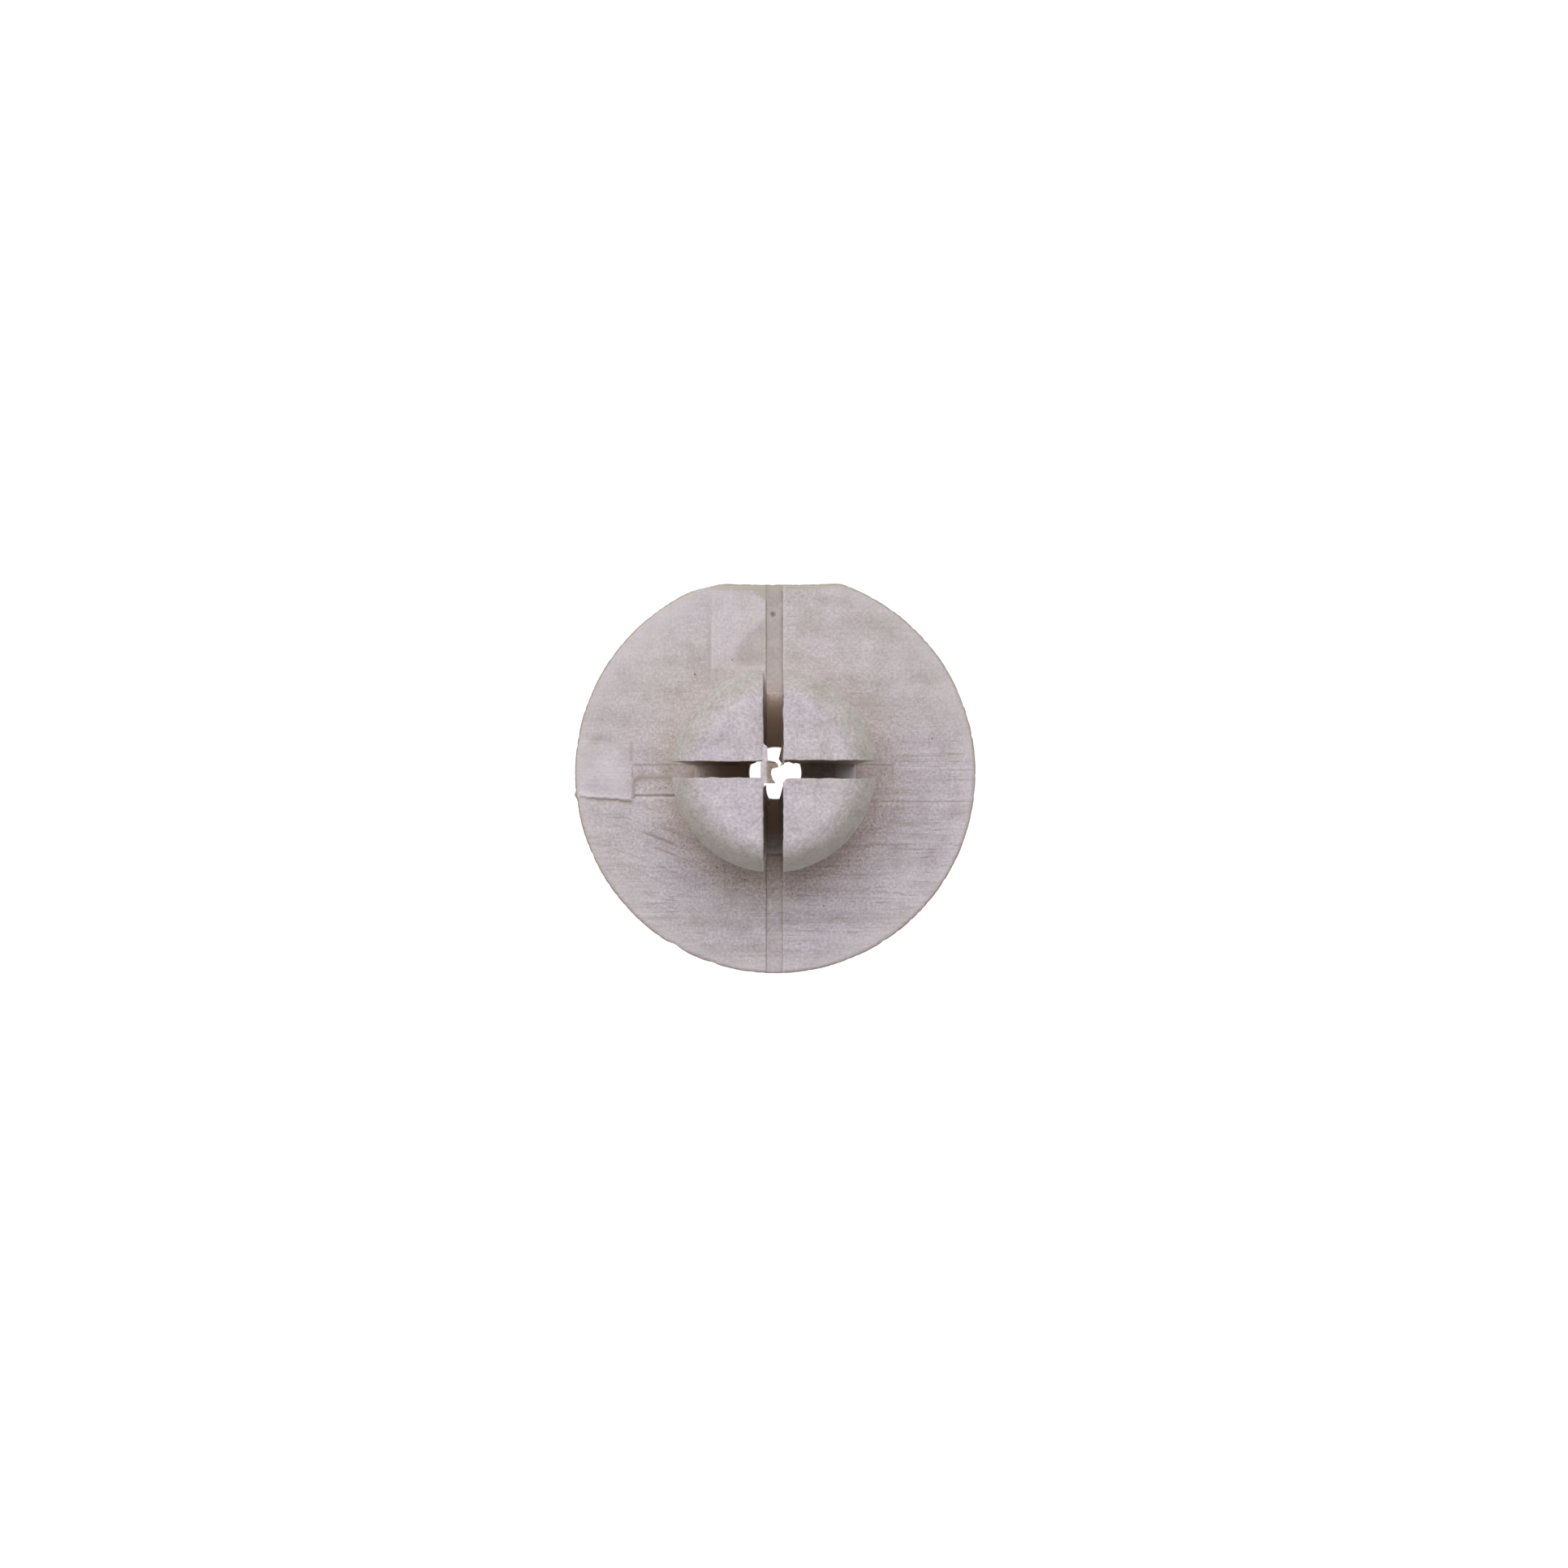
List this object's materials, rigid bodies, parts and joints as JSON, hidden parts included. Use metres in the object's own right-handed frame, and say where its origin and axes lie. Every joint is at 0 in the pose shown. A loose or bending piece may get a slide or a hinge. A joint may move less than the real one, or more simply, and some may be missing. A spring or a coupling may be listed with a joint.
{
  "type": "wall anchor",
  "caption": "Stubby flanged expansion plug: round head plate with one trimmed flat, short shank split crosswise into spreading legs, blunt rounded nose, screw bore.",
  "frame": {"origin": "middle of the head face of the flange, on the plug's axis", "axes": "+Z along the axis from the head face towards the split nose; +Y towards the flat on the flange's rim; +X completes the frame, along the narrower slot"},
  "size_m": [0.02, 0.0195, 0.014],
  "materials": {
    "moulded_plastic": "matte, faint tool marks"
  },
  "bodies": {
    "body": {"flange": "moulded_plastic", "root_collar": "moulded_plastic", "leg_root_1": "moulded_plastic", "leg_root_2": "moulded_plastic", "leg_root_3": "moulded_plastic", "leg_root_4": "moulded_plastic"},
    "leg_1": {"leg_1": "moulded_plastic"},
    "leg_2": {"leg_2": "moulded_plastic", "tip_web": "moulded_plastic"},
    "leg_3": {"leg_3": "moulded_plastic"},
    "leg_4": {"leg_4": "moulded_plastic"}
  },
  "joints": [
    {"name": "leg_1_spread", "type": "hinge", "parent": "body", "child": "leg_1", "pos_m": [0.00184, 0.00184, 0.0032], "axis": [-0.7071, 0.7071, 0], "range_deg": [-1.5, 8], "stiffness_Nm_per_rad": 0.02, "deforming": ["leg_root_1"]},
    {"name": "leg_2_spread", "type": "hinge", "parent": "body", "child": "leg_2", "pos_m": [-0.00184, 0.00184, 0.0032], "axis": [-0.7071, -0.7071, 0], "range_deg": [-1.5, 8], "stiffness_Nm_per_rad": 0.02, "deforming": ["leg_root_2", "tip_web"]},
    {"name": "leg_3_spread", "type": "hinge", "parent": "body", "child": "leg_3", "pos_m": [-0.00184, -0.00184, 0.0032], "axis": [0.7071, -0.7071, 0], "range_deg": [-1.5, 8], "stiffness_Nm_per_rad": 0.02, "deforming": ["leg_root_3"]},
    {"name": "leg_4_spread", "type": "hinge", "parent": "body", "child": "leg_4", "pos_m": [0.00184, -0.00184, 0.0032], "axis": [0.7071, 0.7071, 0], "range_deg": [-1.5, 8], "stiffness_Nm_per_rad": 0.02, "deforming": ["leg_root_4"]}
  ],
  "couplings": [
    {"joint": "leg_2_spread", "follows": "leg_1_spread", "ratio": 1},
    {"joint": "leg_3_spread", "follows": "leg_1_spread", "ratio": 1},
    {"joint": "leg_4_spread", "follows": "leg_1_spread", "ratio": 1}
  ]
}
